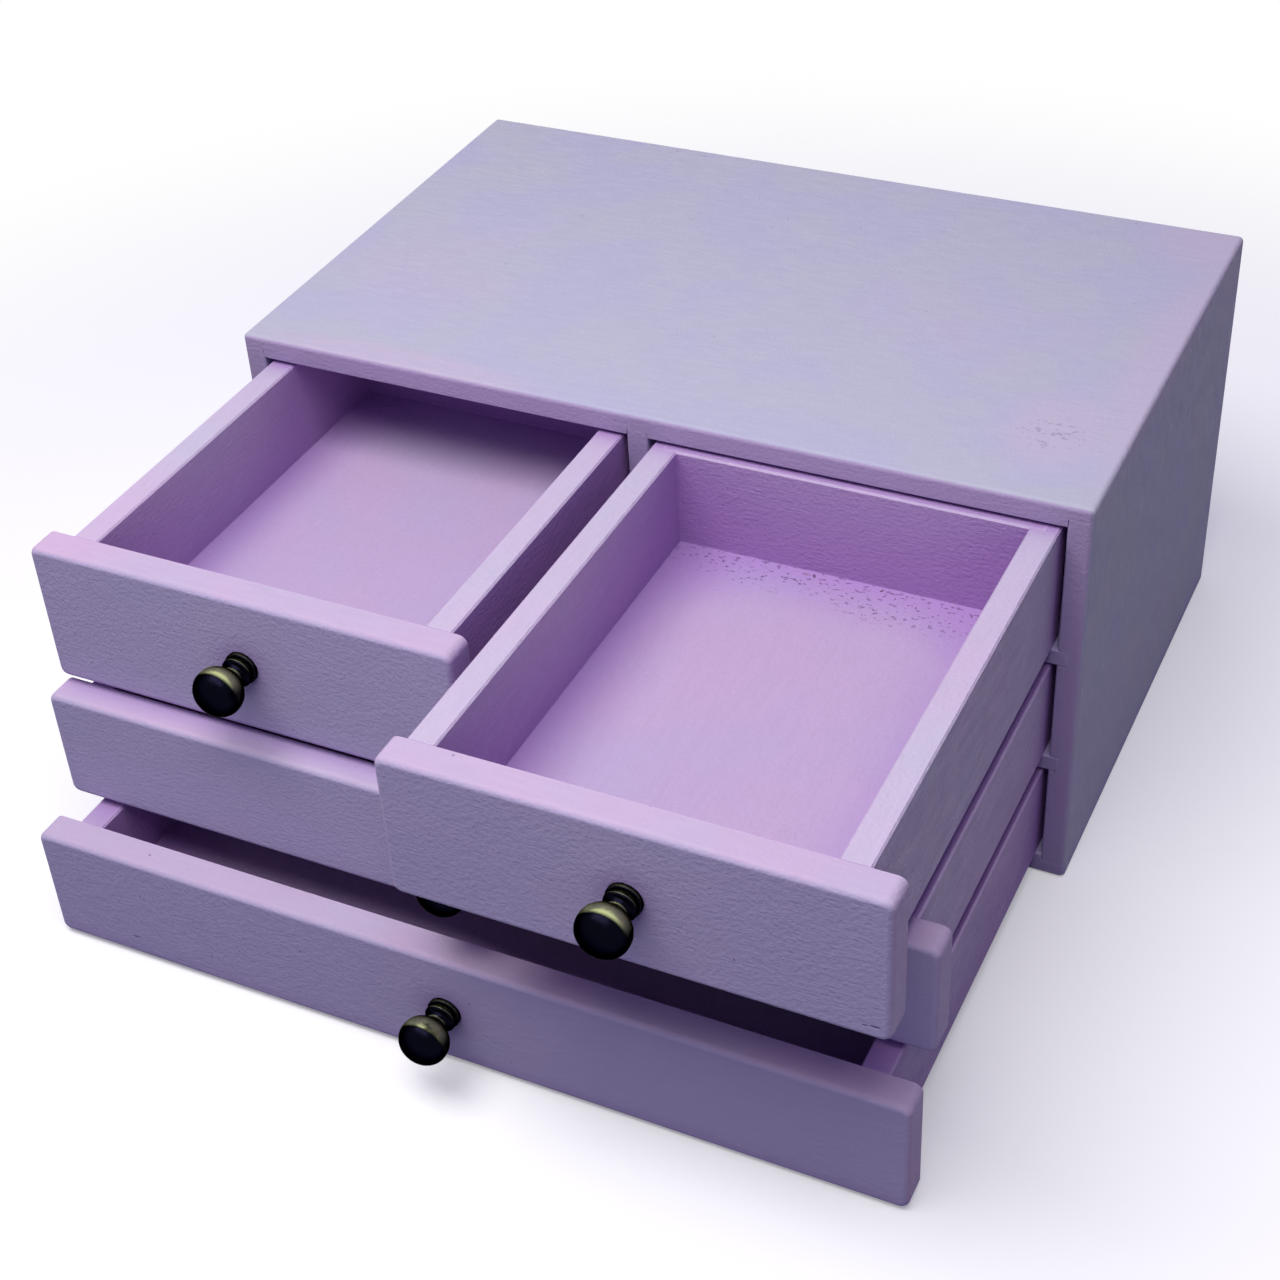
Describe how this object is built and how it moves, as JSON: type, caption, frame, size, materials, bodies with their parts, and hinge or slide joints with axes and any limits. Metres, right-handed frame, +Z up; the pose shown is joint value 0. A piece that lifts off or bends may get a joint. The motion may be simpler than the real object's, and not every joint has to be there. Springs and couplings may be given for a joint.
{
  "type": "drawer box",
  "caption": "Painted wooden desk box with small drawers side by side over wide drawers, each with a turned metal knob, for paints and craft parts.",
  "frame": {"origin": "centre of the carcass on the surface it stands on", "axes": "+X to the right as seen from the front, +Y to the back, +Z up; drawers open towards -Y"},
  "size_m": [0.3, 0.373, 0.148],
  "materials": {
    "painted_board": "satin lilac paint, brushed",
    "painted_front": "satin lilac paint, brushed",
    "painted_drawer_box": "satin pinkish lilac paint, brushed",
    "antique_bronze": "antique bronze, dark lacquer rubbed back on the edges"
  },
  "bodies": {
    "carcass": {"carcass_top": "painted_board", "carcass_bottom": "painted_board", "carcass_left_side": "painted_board", "carcass_right_side": "painted_board", "carcass_back": "painted_board", "upper_shelf": "painted_board", "lower_shelf": "painted_board", "centre_divider": "painted_board"},
    "top_left_drawer": {"top_left_drawer_front": "painted_front", "top_left_drawer_left_wall": "painted_drawer_box", "top_left_drawer_right_wall": "painted_drawer_box", "top_left_drawer_back": "painted_drawer_box", "top_left_drawer_base": "painted_drawer_box", "top_left_drawer_knob": "antique_bronze"},
    "top_right_drawer": {"top_right_drawer_front": "painted_front", "top_right_drawer_left_wall": "painted_drawer_box", "top_right_drawer_right_wall": "painted_drawer_box", "top_right_drawer_back": "painted_drawer_box", "top_right_drawer_base": "painted_drawer_box", "top_right_drawer_knob": "antique_bronze"},
    "middle_drawer": {"middle_drawer_front": "painted_front", "middle_drawer_left_wall": "painted_drawer_box", "middle_drawer_right_wall": "painted_drawer_box", "middle_drawer_back": "painted_drawer_box", "middle_drawer_base": "painted_drawer_box", "middle_drawer_knob": "antique_bronze"},
    "bottom_drawer": {"bottom_drawer_front": "painted_front", "bottom_drawer_left_wall": "painted_drawer_box", "bottom_drawer_right_wall": "painted_drawer_box", "bottom_drawer_back": "painted_drawer_box", "bottom_drawer_base": "painted_drawer_box", "bottom_drawer_knob": "antique_bronze"}
  },
  "joints": [
    {"name": "top_left_drawer_slide", "type": "slide", "parent": "carcass", "child": "top_left_drawer", "axis": [0, -1, 0], "range_m": [-0.1115, 0.063]},
    {"name": "top_right_drawer_slide", "type": "slide", "parent": "carcass", "child": "top_right_drawer", "axis": [0, -1, 0], "range_m": [-0.1575, 0.017]},
    {"name": "middle_drawer_slide", "type": "slide", "parent": "carcass", "child": "middle_drawer", "axis": [0, -1, 0], "range_m": [-0.1195, 0.055]},
    {"name": "bottom_drawer_slide", "type": "slide", "parent": "carcass", "child": "bottom_drawer", "axis": [0, -1, 0], "range_m": [-0.1395, 0.035]}
  ]
}
